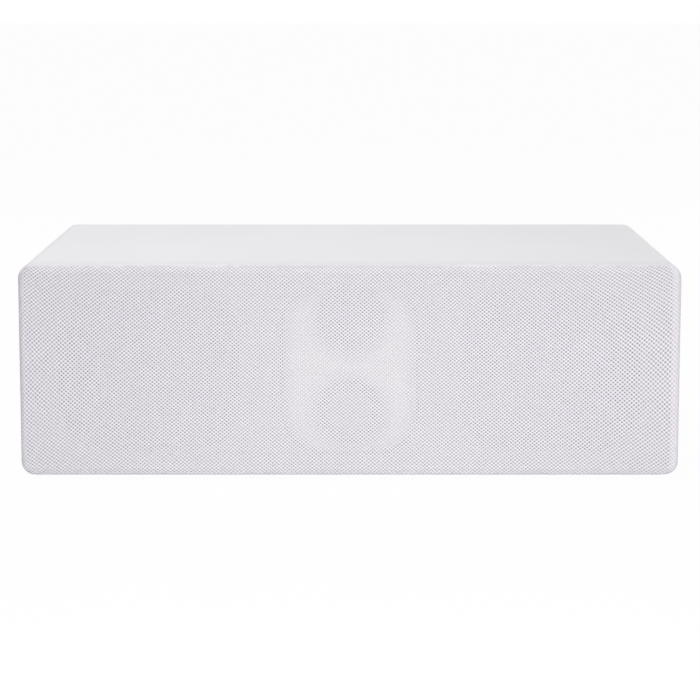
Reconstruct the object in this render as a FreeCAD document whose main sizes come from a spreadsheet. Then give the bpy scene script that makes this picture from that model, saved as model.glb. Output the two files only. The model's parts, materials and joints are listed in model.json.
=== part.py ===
"""A three-way wireless speaker in a low lacquered cabinet, with a cloth cover over its whole front.

The frame has +Z up and the listener at -Y. The origin is at the middle of the object's box, on the
surface that the feet stand on. Lengths are millimetres and angles are degrees.
"""

import FreeCAD
import Part
import math
import os
import Sketcher
from FreeCAD import Placement, Rotation, Vector
from types import SimpleNamespace

# Driving sizes, one spreadsheet cell each.
SIZES = {
    # Cabinet of lacquered board
    "cabinet_width": 520.0,
    "cabinet_depth": 265.5,
    "cabinet_wall": 12.0,
    "cabinet_edge_radius": 11.0,
    "rear_edge_radius": 1.5,
    "baffle_thickness": 18.0,
    "rear_thickness": 15.0,
    "rear_recess": 8.0,
    "divider_thickness": 12.0,
    "chamber_width": 118.0,
    "mid_chamber_depth": 90.0,
    "stack_margin_top": 2.7,
    "stack_margin_bottom": 5.8,
    "driver_gap": 19.5,
    "board_fit": 0.3,
    # Rubber feet
    "foot_height": 3.0,
    "foot_diameter": 18.0,
    "foot_taper": 1.5,
    "foot_inset_x": 45.0,
    "foot_inset_y": 40.0,
    # Cover: cloth stretched over a moulded frame that pegs into the baffle
    "cover_depth": 14.0,
    "cover_gap": 0.5,
    "cover_edge_radius": 6.0,
    "cloth_thickness": 0.8,
    "cloth_fit": 0.1,
    "frame_wall": 4.0,
    "frame_rim": 7.0,
    "web_thickness": 3.0,
    "web_setback": 2.0,
    "rib_width": 2.5,
    "woofer_window_width": 143.0,
    "woofer_window_height": 130.0,
    "woofer_window_radius": 38.0,
    "plate_window_gap": 2.0,
    "peg_diameter": 6.0,
    "peg_reach": 9.0,
    "peg_clearance": 0.15,
    "peg_inset": 12.0,
    "cup_wall": 2.2,
    "cup_floor": 2.0,
    "cup_lip": 1.6,
    "cup_lip_thickness": 1.0,
    # Woofer
    "woofer_offset": 158.0,
    "woofer_cone_diameter": 82.0,
    "woofer_cone_depth": 19.0,
    "woofer_cone_wall": 1.2,
    "woofer_cone_lip": 3.0,
    "woofer_cap_diameter": 36.0,
    "woofer_cap_height": 6.0,
    "woofer_cap_wall": 1.0,
    "woofer_roll": 4.0,
    "woofer_surround_thickness": 0.8,
    "woofer_surround_land": 4.0,
    "woofer_screw_land": 7.0,
    "woofer_flange": 4.0,
    "woofer_basket_wall": 2.5,
    "woofer_waist_diameter": 80.0,
    "woofer_shelf_depth": 28.0,
    "woofer_seat_diameter": 66.0,
    "woofer_seat_depth": 42.0,
    "woofer_coil_diameter": 25.4,
    "woofer_former_wall": 0.4,
    "woofer_former_length": 32.0,
    "woofer_winding": 0.7,
    "woofer_winding_height": 12.0,
    "woofer_coil_gap": 0.5,
    "woofer_spider_wave": 1.2,
    "woofer_spider_thickness": 0.8,
    "woofer_top_plate_diameter": 80.0,
    "woofer_top_plate_thickness": 5.0,
    "woofer_magnet_diameter": 86.0,
    "woofer_magnet_bore": 44.0,
    "woofer_magnet_thickness": 15.0,
    "woofer_yoke_thickness": 6.0,
    "woofer_vent_diameter": 8.0,
    # Midrange
    "midrange_cone_diameter": 40.0,
    "midrange_cone_depth": 9.0,
    "midrange_cone_wall": 0.8,
    "midrange_cone_lip": 2.0,
    "midrange_cap_diameter": 21.0,
    "midrange_cap_height": 4.0,
    "midrange_cap_wall": 0.7,
    "midrange_roll": 2.5,
    "midrange_surround_thickness": 0.5,
    "midrange_surround_land": 2.5,
    "midrange_screw_land": 3.1,
    "midrange_flange": 3.0,
    "midrange_basket_wall": 1.6,
    "midrange_waist_diameter": 40.0,
    "midrange_shelf_depth": 15.0,
    "midrange_seat_diameter": 32.0,
    "midrange_seat_depth": 23.0,
    "midrange_coil_diameter": 16.0,
    "midrange_former_wall": 0.3,
    "midrange_former_length": 18.0,
    "midrange_winding": 0.5,
    "midrange_winding_height": 6.0,
    "midrange_coil_gap": 0.4,
    "midrange_spider_wave": 0.7,
    "midrange_spider_thickness": 0.5,
    "midrange_top_plate_diameter": 42.0,
    "midrange_top_plate_thickness": 3.0,
    "midrange_magnet_diameter": 45.0,
    "midrange_magnet_bore": 25.0,
    "midrange_magnet_thickness": 8.0,
    "midrange_yoke_thickness": 4.0,
    "midrange_vent_diameter": 4.0,
    # Clearances and openings that all cone drivers share
    "surround_clearance": 0.4,
    "neck_clearance": 0.1,
    "spider_clearance": 0.2,
    "seat_clearance": 3.0,
    "window_margin": 1.0,
    "window_half_angle": 20.0,
    # Tweeter
    "tweeter_dome_diameter": 25.0,
    "tweeter_dome_height": 5.0,
    "tweeter_membrane": 0.4,
    "tweeter_roll": 2.0,
    "tweeter_land": 2.5,
    "tweeter_frame_diameter": 54.0,
    "tweeter_flange": 4.0,
    "tweeter_motor_diameter": 46.0,
    "tweeter_magnet_bore": 28.0,
    "tweeter_magnet_thickness": 9.0,
    "tweeter_yoke_thickness": 4.0,
    "tweeter_pole_diameter": 23.0,
    # Plate behind the middle of the cloth, with a mouth for each small driver
    "plate_width": 105.6,
    "plate_margin": 5.5,
    "plate_corner_radius": 33.0,
    "plate_edge_radius": 9.0,
    "plate_cloth_gap": 0.9,
    "mouth_diameter": 60.0,
    "mouth_flare": 2.5,
    "mouth_flare_depth": 4.0,
    "plate_screw_x": 44.0,
    "plate_screw_z": 26.0,
    "plate_screw_bite": 7.0,
    # Screws
    "screw_diameter": 3.8,
    "screw_head_diameter": 7.0,
    "screw_head_height": 2.4,
    "screw_bite": 11.0,
    "recess_length": 4.2,
    "recess_width": 1.1,
    "recess_depth": 1.3,
    "screw_clearance": 0.2,
    "pilot_clearance": 0.05,
    # Reflex ports in the rear panel
    "port_bore": 44.0,
    "port_wall": 2.5,
    "port_length": 105.0,
    "port_flange_width": 12.0,
    "port_flange_thickness": 2.0,
    "port_flare": 5.0,
    # Service plate with the electronics on it
    "service_thickness": 2.5,
    "service_corner_radius": 4.0,
    "service_land": 8.0,
    "stud_height": 10.0,
    "stud_diameter": 6.0,
    "board_margin": 3.0,
    "board_part_gap": 2.0,
    "board_height": 62.0,
    "board_window_gap": 3.0,
    "board_rise": 17.0,
    "board_thickness": 1.6,
    "stud_inset": 5.0,
    "capacitor_diameter": 16.0,
    "capacitor_height": 22.0,
    "transformer_width": 34.0,
    "transformer_height": 28.0,
    "transformer_depth": 26.0,
    "transformer_window": 6.0,
    "heatsink_width": 26.0,
    "heatsink_height": 44.0,
    "heatsink_depth": 20.0,
    "heatsink_base": 4.0,
    "heatsink_fin": 1.6,
    "module_width": 26.0,
    "module_height": 14.0,
    "module_board": 1.2,
    "module_can": 2.4,
    # Mains inlet for a two-pole lead
    "inlet_x": 24.0,
    "control_margin": 15.0,
    "inlet_flange_width": 30.0,
    "inlet_flange_height": 17.0,
    "inlet_flange_thickness": 1.5,
    "inlet_body_depth": 17.0,
    "inlet_wall": 2.2,
    "socket_width": 19.0,
    "socket_height": 9.0,
    "socket_depth": 13.0,
    "contact_spacing": 8.6,
    "contact_diameter": 2.4,
    "contact_length": 10.0,
    # Rocker switch
    "switch_x": 24.0,
    "switch_bezel": 2.0,
    "switch_bezel_thickness": 1.5,
    "switch_wall": 2.2,
    "switch_body_depth": 14.0,
    "rocker_width": 10.0,
    "rocker_length": 16.0,
    "rocker_gap": 0.5,
    "rocker_tilt": 8.0,
    "rocker_end_rise": 4.4,
    "rocker_dip": 1.0,
    "rocker_belly": 3.0,
    "rocker_pivot_depth": 3.0,
    "pivot_diameter": 2.4,
    "pivot_length": 1.0,
    "pivot_clearance": 0.06,
    # Pairing button and status lens
    "button_x": 24.0,
    "button_rise": 34.0,
    "button_diameter": 8.0,
    "button_proud": 1.6,
    "button_flange": 1.2,
    "button_gap": 0.2,
    "button_stem": 5.0,
    "lens_x": 24.0,
    "lens_diameter": 3.2,
    "lens_proud": 0.6,
    "lens_flange": 0.8,
    # Wadding on the end walls
    "wadding_thickness": 24.0,
    "wadding_height": 110.0,
    "wadding_length": 150.0,
    "wadding_radius": 6.0,
}

WINDOW_COUNT = 6
WOOFER_SCREW_COUNT = 4
SPIDER_WAVES = 3
HEATSINK_FINS = 5
SIDES = (("left", -1), ("right", 1))

# Turns a piece drawn in front view, with x right, y up and z towards the listener, into the frame.
FRONT = Rotation(Vector(1, 0, 0), 90)
UPRIGHT = Rotation()


class Size:
    """A size that knows its number and the sheet expression that it is bound by."""

    def __init__(self, number, text):
        self.number = number
        self.text = text

    def __add__(self, other):
        other = as_size(other)
        return Size(self.number + other.number, f"({self.text} + {other.text})")

    def __sub__(self, other):
        other = as_size(other)
        return Size(self.number - other.number, f"({self.text} - {other.text})")

    def __rsub__(self, other):
        return as_size(other) - self

    def __mul__(self, other):
        other = as_size(other)
        return Size(self.number * other.number, f"({self.text} * {other.text})")

    def __truediv__(self, other):
        other = as_size(other)
        return Size(self.number / other.number, f"({self.text} / {other.text})")

    def __neg__(self):
        return Size(-self.number, f"(-{self.text})")

    __radd__ = __add__
    __rmul__ = __mul__


def as_size(value):
    """A plain number as a size, and a size as it is."""
    return value if isinstance(value, Size) else Size(value, str(value))


def cosine(angle):
    """The cosine of a size in degrees."""
    return Size(math.cos(math.radians(angle.number)), f"cos({angle.text} * 1 deg)")


def sine(angle):
    """The sine of a size in degrees."""
    return Size(math.sin(math.radians(angle.number)), f"sin({angle.text} * 1 deg)")


def arc_radius(half_chord, rise):
    """The radius of the arc that rises by that much over that half chord."""
    return (half_chord * half_chord + rise * rise) / (rise * 2)


# Document and sheet
doc = FreeCAD.newDocument("wireless_speaker")
sheet = doc.addObject("Spreadsheet::Sheet", "Sizes")
for row, (alias, number) in enumerate(SIZES.items(), start=1):
    sheet.set(f"A{row}", alias.replace("_", " "))
    sheet.set(f"B{row}", str(number))
    sheet.setAlias(f"B{row}", alias)
doc.recompute()
S = SimpleNamespace(**{alias: Size(number, f"Sizes.{alias}") for alias, number in SIZES.items()})
made = []


# Drawing and feature helpers
def new_body(label, x=0, y=0, z=0, turn=FRONT):
    """A body whose own origin is bound to a place in the frame."""
    body = doc.addObject("PartDesign::Body", label)
    body.Label = label
    place = [as_size(value) for value in (x, y, z)]
    body.Placement = Placement(Vector(*[size.number for size in place]), turn)
    for axis, size in zip("xyz", place):
        body.setExpression(f"Placement.Base.{axis}", size.text)
    return body


def new_sketch(body, offset=0, plane="XY_Plane"):
    """A sketch on one of the body's own planes, moved along its normal."""
    sketch = body.newObject("Sketcher::SketchObject", f"{body.Name}_sketch")
    support = next(item for item in body.Origin.OriginFeatures if item.Role == plane)
    sketch.AttachmentSupport = [(support, "")]
    sketch.MapMode = "FlatFace"
    offset = as_size(offset)
    sketch.AttachmentOffset = Placement(Vector(0, 0, offset.number), Rotation())
    sketch.setExpression("AttachmentOffset.Base.z", offset.text)
    return sketch


class Limits:
    """Gathers a sketch's constraints, adds them at once and binds the measured ones."""

    def __init__(self, sketch):
        self.sketch = sketch
        self.constraints = []
        self.bound = []

    def add(self, *facts):
        self.constraints.append(Sketcher.Constraint(*facts))

    def measure(self, kind, *facts, size):
        self.bound.append((len(self.constraints), size.text))
        self.add(kind, *facts, size.number)

    def hold(self, geometry, end, x, y):
        """Holds a point at a distance from the sketch's origin along both axes."""
        for kind, axis, size in (("DistanceX", -2, as_size(x)), ("DistanceY", -1, as_size(y))):
            if size.text == "0":
                self.add("PointOnObject", geometry, end, axis)
            elif size.number > 0:
                self.measure(kind, -1, 1, geometry, end, size=size)
            else:
                self.measure(kind, geometry, end, -1, 1, size=-size)

    def apply(self):
        start = self.sketch.ConstraintCount
        self.sketch.addConstraint(self.constraints)
        for index, text in self.bound:
            self.sketch.setExpression(f"Constraints[{start + index}]", text)


def outline(sketch, corners):
    """Draws a closed outline through its corners. A corner is (x, y), or (x, y, radius, turn) where
    the edge that arrives there is an arc that turns left (1) or right (-1)."""
    corners = [[as_size(value) for value in corner[:3]] + list(corner[3:]) for corner in corners]
    points = [Vector(corner[0].number, corner[1].number, 0) for corner in corners]
    ends = []
    limits = Limits(sketch)
    for index, corner in enumerate(corners):
        start, stop = points[index - 1], points[index]
        if len(corner) == 2:
            ends.append((sketch.addGeometry(Part.LineSegment(start, stop)), 1, 2))
            continue
        radius, turn = corner[2], corner[3]
        chord = stop - start
        away = math.sqrt(max(radius.number**2 - (chord.Length / 2) ** 2, 0.0))
        across = Vector(-chord.y, chord.x, 0).normalize() * turn
        centre = (start + stop) * 0.5 + across * away
        first, last = (start, stop) if turn > 0 else (stop, start)
        angles = [math.atan2(p.y - centre.y, p.x - centre.x) for p in (first, last)]
        circle = Part.Circle(centre, Vector(0, 0, 1), radius.number)
        arc = sketch.addGeometry(Part.ArcOfCircle(circle, *angles))
        limits.measure("Radius", arc, size=radius)
        ends.append((arc, 1, 2) if turn > 0 else (arc, 2, 1))
    for index, corner in enumerate(corners):
        arriving, leaving = ends[index], ends[(index + 1) % len(ends)]
        limits.add("Coincident", arriving[0], arriving[2], leaving[0], leaving[1])
        limits.hold(arriving[0], arriving[2], corner[0], corner[1])
    limits.apply()


def rectangle(sketch, width, height, x=0, y=0):
    """Draws a rectangle about a centre."""
    left, right, low, high = x - width / 2, x + width / 2, y - height / 2, y + height / 2
    outline(sketch, [(left, low), (right, low), (right, high), (left, high)])


def rounded(sketch, width, height, radius, x=0, y=0):
    """Draws a rectangle with round corners about a centre."""
    left, right, low, high = x - width / 2, x + width / 2, y - height / 2, y + height / 2
    outline(
        sketch,
        [
            (left + radius, low),
            (right - radius, low),
            (right, low + radius, radius, 1),
            (right, high - radius),
            (right - radius, high, radius, 1),
            (left + radius, high),
            (left, high - radius, radius, 1),
            (left, low + radius),
            (left + radius, low, radius, 1),
        ][1:],
    )


def circles(sketch, radius, centres):
    """Draws equal circles."""
    radius = as_size(radius)
    limits = Limits(sketch)
    for x, y in centres:
        centre = Vector(as_size(x).number, as_size(y).number, 0)
        circle = sketch.addGeometry(Part.Circle(centre, Vector(0, 0, 1), radius.number))
        limits.measure("Radius", circle, size=radius)
        limits.hold(circle, 3, x, y)
    limits.apply()


def pad(body, sketch, length, reverse=False):
    """Raises a sketch along its normal, or against it."""
    feature = body.newObject("PartDesign::Pad", f"{body.Name}_pad")
    feature.Profile = sketch
    feature.Reversed = reverse
    feature.setExpression("Length", length.text)
    doc.recompute()
    return feature


def pocket(body, sketch, length=None, reverse=False):
    """Cuts a sketch against its normal, or along it, through everything where no length is given."""
    before = body.Shape.Volume
    feature = body.newObject("PartDesign::Pocket", f"{body.Name}_pocket")
    feature.Profile = sketch
    feature.Reversed = reverse
    if length is None:
        feature.Type = "ThroughAll"
    else:
        feature.setExpression("Length", length.text)
    doc.recompute()
    if body.Shape.Volume >= before:
        raise RuntimeError(f"a pocket of {body.Label} cuts nothing")
    return feature


def turned(label, profile, x=0, y=0, z=0, turn=FRONT):
    """A body turned about its own z axis from a profile of (radius, height) corners."""
    body = new_body(label, x, y, z, turn)
    sketch = new_sketch(body, plane="XZ_Plane")
    outline(sketch, profile)
    feature = body.newObject("PartDesign::Revolution", f"{label}_revolution")
    feature.Profile = sketch
    feature.ReferenceAxis = (sketch, ["V_Axis"])
    feature.Angle = 360
    doc.recompute()
    return body


def bore(body, axis_height, profile):
    """Turns a hollow into a body about an axis along z that stands at x 0 and that height."""
    before = body.Shape.Volume
    sketch = new_sketch(body, plane="YZ_Plane")
    axis_height = as_size(axis_height)
    outline(sketch, [(axis_height + corner[0], *corner[1:]) for corner in profile])
    base = Vector(axis_height.number, 0, 0)
    axis = sketch.addGeometry(Part.LineSegment(base, base + Vector(0, 1, 0)), True)
    limits = Limits(sketch)
    limits.add("Vertical", axis)
    limits.hold(axis, 1, axis_height, 0)
    limits.measure("DistanceY", axis, 1, axis, 2, size=as_size(1.0))
    limits.apply()
    feature = body.newObject("PartDesign::Groove", f"{body.Name}_groove")
    feature.Profile = sketch
    feature.ReferenceAxis = (sketch, ["Axis0"])
    feature.Angle = 360
    doc.recompute()
    if body.Shape.Volume >= before:
        raise RuntimeError(f"a bore of {body.Label} cuts nothing")
    return feature


def around(body, feature, count):
    """Repeats a feature evenly about the body's z axis."""
    pattern = body.newObject("PartDesign::PolarPattern", f"{body.Name}_pattern")
    pattern.Originals = [feature]
    axis = next(item for item in body.Origin.OriginFeatures if item.Role == "Z_Axis")
    pattern.Axis = (axis, [""])
    pattern.Angle = 360
    pattern.Occurrences = count
    body.Tip = pattern
    doc.recompute()
    return pattern


def fillet(body, base, chosen, radius):
    """Rounds the edges of a feature that a test chooses."""
    names = [f"Edge{i}" for i, edge in enumerate(base.Shape.Edges, start=1) if chosen(edge)]
    feature = body.newObject("PartDesign::Fillet", f"{body.Name}_fillet")
    feature.Base = (base, names)
    feature.setExpression("Radius", radius.text)
    doc.recompute()
    return feature


def on_level(level):
    """A test for edges that lie wholly at one local height."""
    level = as_size(level).number
    return lambda edge: all(abs(vertex.Z - level) < 1e-6 for vertex in edge.Vertexes)


def box(label, length, width, height, x, y):
    """A board that stands on the cabinet's floor, centred on x and with its front face at y."""
    board = doc.addObject("Part::Box", label)
    board.Label = label
    for name, size in (("Length", length), ("Width", width), ("Height", height)):
        board.setExpression(name, as_size(size).text)
    for axis, size in (("x", x - length / 2), ("y", y), ("z", FLOOR_Z)):
        board.setExpression(f"Placement.Base.{axis}", as_size(size).text)
    doc.recompute()
    return board


def group(label, members):
    """Pieces as one sub-part of separate solids."""
    compound = doc.addObject("Part::Compound", label)
    compound.Label = label
    compound.Links = members
    doc.recompute()
    return compound


# Sizes that follow from the driving ones
INNER_WIDTH = S.cabinet_width - S.cabinet_wall * 2


def driver_sizes(prefix):
    """A cone driver's own sizes under short names, with the radii that follow from them."""
    start = len(prefix) + 1
    own = {alias[start:]: getattr(S, alias) for alias in SIZES if alias.startswith(prefix + "_")}
    d = SimpleNamespace(**own)
    d.lip_radius = d.cone_diameter / 2
    d.roll_radius = d.lip_radius + d.roll * 2
    d.bore_radius = d.roll_radius + S.surround_clearance
    d.land_radius = d.bore_radius + d.surround_land
    d.frame_radius = d.land_radius + d.screw_land
    d.throat_radius = d.bore_radius + d.basket_wall
    d.coil_radius = d.coil_diameter / 2
    d.gap_radius = d.coil_radius + d.winding + d.coil_gap
    d.pole_radius = d.coil_radius - d.former_wall - d.coil_gap
    d.seat_hole_radius = d.gap_radius + S.seat_clearance
    d.magnet_depth = d.seat_depth + d.top_plate_thickness
    d.yoke_depth = d.magnet_depth + d.magnet_thickness
    return d


WOOFER = driver_sizes("woofer")
MIDRANGE = driver_sizes("midrange")
TWEETER_RADIUS = S.tweeter_frame_diameter / 2
TWEETER_MOTOR_RADIUS = S.tweeter_motor_diameter / 2
STACK = S.tweeter_frame_diameter + S.driver_gap + MIDRANGE.frame_radius * 2
INNER_HEIGHT = STACK + S.stack_margin_top + S.stack_margin_bottom
TWEETER_RISE = INNER_HEIGHT / 2 - S.stack_margin_top - TWEETER_RADIUS
MIDRANGE_RISE = MIDRANGE.frame_radius + S.stack_margin_bottom - INNER_HEIGHT / 2
CABINET_HEIGHT = INNER_HEIGHT + S.cabinet_wall * 2
PLATE_HEIGHT = INNER_HEIGHT - S.plate_margin * 2
PLATE_THICKNESS = S.cover_gap + S.cover_depth - S.cloth_thickness - S.plate_cloth_gap
TOTAL_DEPTH = S.cabinet_depth + S.cover_gap + S.cover_depth
RIM_Y = S.cover_depth + S.cover_gap - TOTAL_DEPTH / 2
REAR_FACE_Y = TOTAL_DEPTH / 2 - S.rear_recess
BAFFLE_BACK_Y = RIM_Y + S.baffle_thickness
REAR_INSIDE_Y = REAR_FACE_Y - S.rear_thickness
MIDDLE_Z = S.foot_height + CABINET_HEIGHT / 2
FLOOR_Z = S.foot_height + S.cabinet_wall
CUP_BORE = S.peg_diameter / 2 + S.peg_clearance
CUP_RADIUS = CUP_BORE + S.cup_wall
CUP_DEPTH = S.peg_reach + S.peg_clearance + S.cup_floor
SCREW_RADIUS = S.screw_diameter / 2
PILOT_RADIUS = SCREW_RADIUS + S.pilot_clearance
PEG_X_INNER = (S.plate_width / 2 + S.woofer_offset - WOOFER.frame_radius) / 2
PEG_X_OUTER = INNER_WIDTH / 2 - S.peg_inset
PEG_Z = INNER_HEIGHT / 2 - S.peg_inset
PEGS = [(x * i, PEG_Z * j) for x in (PEG_X_INNER, PEG_X_OUTER) for i in (-1, 1) for j in (-1, 1)]
PLATE_SCREWS = [(S.plate_screw_x * i, S.plate_screw_z * j) for i in (-1, 1) for j in (-1, 1)]
WOOFER_SCREW_RADIUS = (WOOFER.land_radius + WOOFER.frame_radius) / 2
SCREW_ANGLES = [math.radians(360 / WOOFER_SCREW_COUNT * (i + 0.5)) for i in range(WOOFER_SCREW_COUNT)]
WOOFER_SCREWS = [
    (S.woofer_offset * side + WOOFER_SCREW_RADIUS * math.cos(a), WOOFER_SCREW_RADIUS * math.sin(a))
    for _, side in SIDES
    for a in SCREW_ANGLES
]


# Cabinet
def cabinet_shell():
    """The wrap of top, bottom and ends, with its long edges rounded."""
    body = new_body("cabinet_shell", 0, RIM_Y, MIDDLE_Z)
    sketch = new_sketch(body)
    rounded(sketch, S.cabinet_width, CABINET_HEIGHT, S.cabinet_edge_radius)
    rectangle(sketch, INNER_WIDTH, INNER_HEIGHT)
    wrap = pad(body, sketch, S.cabinet_depth, reverse=True)
    at_rear = on_level(-S.cabinet_depth)
    half_width, half_height = INNER_WIDTH.number / 2, INNER_HEIGHT.number / 2

    def outer_rear(edge):
        middle = edge.CenterOfMass
        return at_rear(edge) and (abs(middle.x) > half_width + 1 or abs(middle.y) > half_height + 1)

    fillet(body, wrap, outer_rear, S.rear_edge_radius)
    return [body]


def front_baffle():
    """The board that carries the drivers, rebated for their frames."""
    body = new_body("front_baffle", 0, RIM_Y, MIDDLE_Z)
    sketch = new_sketch(body)
    rectangle(sketch, INNER_WIDTH, INNER_HEIGHT)
    pad(body, sketch, S.baffle_thickness, reverse=True)
    woofers = [(S.woofer_offset * side, 0) for _, side in SIDES]
    seats = (
        (WOOFER.frame_radius, WOOFER.throat_radius, WOOFER.flange, woofers),
        (MIDRANGE.frame_radius, MIDRANGE.throat_radius, MIDRANGE.flange, [(0, MIDRANGE_RISE)]),
        (TWEETER_RADIUS, TWEETER_MOTOR_RADIUS, S.tweeter_flange, [(0, TWEETER_RISE)]),
    )
    for frame_radius, throat_radius, flange, centres in seats:
        rebate = new_sketch(body)
        circles(rebate, frame_radius + S.board_fit, centres)
        pocket(body, rebate, flange)
        through = new_sketch(body)
        circles(through, throat_radius + S.board_fit, centres)
        pocket(body, through)
    cups = new_sketch(body)
    circles(cups, CUP_RADIUS + S.board_fit, PEGS)
    pocket(body, cups, CUP_DEPTH)
    lips = new_sketch(body)
    circles(lips, CUP_RADIUS + S.cup_lip + S.board_fit, PEGS)
    pocket(body, lips, S.cup_lip_thickness)
    pilots = new_sketch(body)
    circles(pilots, PILOT_RADIUS, WOOFER_SCREWS)
    pocket(body, pilots, WOOFER.flange + S.screw_bite)
    passages = new_sketch(body)
    circles(passages, SCREW_RADIUS + S.screw_clearance, PLATE_SCREWS)
    pocket(body, passages)
    return [body]


def rear_panel():
    """The inset back board, open for the ports and the service plate."""
    body = new_body("rear_panel", 0, REAR_FACE_Y, MIDDLE_Z)
    sketch = new_sketch(body)
    rectangle(sketch, INNER_WIDTH, INNER_HEIGHT)
    pad(body, sketch, S.rear_thickness)
    window = new_sketch(body)
    rounded(window, SERVICE_WINDOW_WIDTH, SERVICE_WINDOW_HEIGHT, S.service_corner_radius)
    pocket(body, window, reverse=True)
    ports = new_sketch(body)
    port_radius = S.port_bore / 2 + S.port_wall + S.board_fit
    circles(ports, port_radius, [(S.woofer_offset * side, 0) for _, side in SIDES])
    pocket(body, ports, reverse=True)
    pilots = new_sketch(body)
    circles(pilots, PILOT_RADIUS, SERVICE_SCREWS)
    pocket(body, pilots, S.screw_bite, reverse=True)
    return [body]


def dividers():
    """Two upright boards beside the middle chamber and one across it, behind the midrange."""
    depth = REAR_INSIDE_Y - BAFFLE_BACK_Y
    offset = (S.chamber_width + S.divider_thickness) / 2
    boards = [
        box(f"divider_{name}", S.divider_thickness, depth, INNER_HEIGHT, offset * side, BAFFLE_BACK_Y)
        for name, side in SIDES
    ]
    across_y = BAFFLE_BACK_Y + S.mid_chamber_depth
    centre = as_size(0)
    across = box("mid_chamber_back", S.chamber_width, S.divider_thickness, INNER_HEIGHT, centre, across_y)
    return boards + [across]


def wadding():
    """Soft sound-absorbing pads on the two end walls."""
    pads = []
    for name, side in SIDES:
        x = (INNER_WIDTH / 2 - S.wadding_thickness / 2) * side
        middle_y = (BAFFLE_BACK_Y + REAR_INSIDE_Y) / 2
        body = new_body(f"wadding_{name}", x, middle_y, MIDDLE_Z - S.wadding_height / 2, UPRIGHT)
        sketch = new_sketch(body)
        rounded(sketch, S.wadding_thickness, S.wadding_length, S.wadding_radius)
        pad(body, sketch, S.wadding_height)
        pads.append(body)
    return pads


def rubber_feet():
    """Four tapered feet under the cabinet."""
    top, low = S.foot_diameter / 2, S.foot_diameter / 2 - S.foot_taper
    profile = [(0, 0), (low, 0), (top, S.foot_height), (0, S.foot_height)]
    feet = []
    for name, side in SIDES:
        for end, toward in (("front", -1), ("rear", 1)):
            x = (S.cabinet_width / 2 - S.foot_inset_x) * side
            middle_y = (RIM_Y + TOTAL_DEPTH / 2) / 2
            y = middle_y + (S.cabinet_depth / 2 - S.foot_inset_y) * toward
            feet.append(turned(f"foot_{end}_{name}", profile, x, y, 0, UPRIGHT))
    return [group("rubber_feet", feet)]


# Cone drivers
def cone_driver(label, d, x, z):
    """The nine pieces of a moving-coil driver. Heights are from the baffle's front face."""
    place = dict(x=x, y=RIM_Y, z=z)
    return [
        driver_basket(label, d, place),
        driver_surround(label, d, place),
        driver_cone(label, d, place),
        driver_cap(label, d, place),
        driver_coil(label, d, place),
        driver_spider(label, d, place),
        *driver_motor(label, d, place),
    ]


def driver_basket(label, d, place):
    """The pressed frame: flange with a ledge, tapered ribs, spider shelf and magnet seat."""
    thin = d.surround_thickness
    waist, seat, wall = d.waist_diameter / 2, d.seat_diameter / 2, d.basket_wall
    body = turned(
        f"{label}_basket",
        [
            (d.bore_radius, -thin),
            (d.land_radius, -thin),
            (d.land_radius, 0),
            (d.frame_radius, 0),
            (d.frame_radius, -d.flange),
            (d.throat_radius, -d.flange),
            (waist, -d.shelf_depth),
            (seat, -d.shelf_depth),
            (seat, -d.seat_depth),
            (d.seat_hole_radius, -d.seat_depth),
            (d.seat_hole_radius, wall - d.seat_depth),
            (seat - wall, wall - d.seat_depth),
            (seat - wall, wall - d.shelf_depth),
            (waist - wall, wall - d.shelf_depth),
            (d.bore_radius, -d.flange),
        ],
        **place,
    )
    window = new_sketch(body)
    inner, outer = waist + S.window_margin, d.bore_radius - S.window_margin
    across, up = sine(S.window_half_angle), cosine(S.window_half_angle)
    outline(
        window,
        [
            (-(inner * across), inner * up),
            (inner * across, inner * up, inner, -1),
            (outer * across, outer * up),
            (-(outer * across), outer * up, outer, 1),
        ],
    )
    around(body, pocket(body, window), WINDOW_COUNT)
    if label != "midrange":
        holes = new_sketch(body)
        first = SCREW_ANGLES[0]
        centre = (WOOFER_SCREW_RADIUS * math.cos(first), WOOFER_SCREW_RADIUS * math.sin(first))
        circles(holes, SCREW_RADIUS + S.screw_clearance, [centre])
        around(body, pocket(body, holes), WOOFER_SCREW_COUNT)
    return body


def driver_surround(label, d, place):
    """The half-roll of rubber between the cone and the frame."""
    thin = d.surround_thickness
    inside, outside = d.lip_radius + thin, d.roll_radius - thin
    profile = [
        (d.lip_radius - d.cone_lip, -thin),
        (inside, -thin),
        (inside, 0),
        (d.lip_radius + d.roll, d.roll - thin, d.roll - thin, -1),
        (outside, 0, d.roll - thin, -1),
        (outside, -thin),
        (d.land_radius - S.neck_clearance, -thin),
        (d.land_radius - S.neck_clearance, 0),
        (d.roll_radius, 0),
        (d.lip_radius + d.roll, d.roll, d.roll, 1),
        (d.lip_radius, 0, d.roll, 1),
        (d.lip_radius - d.cone_lip, 0),
    ]
    return turned(f"{label}_surround", profile, **place)


def cone_line(d):
    """The cone's front face as (inner radius, outer radius, lowest height, highest height)."""
    return d.coil_radius + S.neck_clearance, d.lip_radius - d.cone_lip, -d.cone_depth, -d.surround_thickness


def driver_cone(label, d, place):
    """The cone with a flat lip for the surround."""
    neck, rim, low, high = cone_line(d)
    profile = [
        (neck, low),
        (neck, low - d.cone_wall * 2),
        (rim + d.cone_wall, high - d.cone_wall),
        (d.lip_radius, high - d.cone_wall),
        (d.lip_radius, high),
        (rim, high),
    ]
    return turned(f"{label}_cone", profile, **place)


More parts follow.
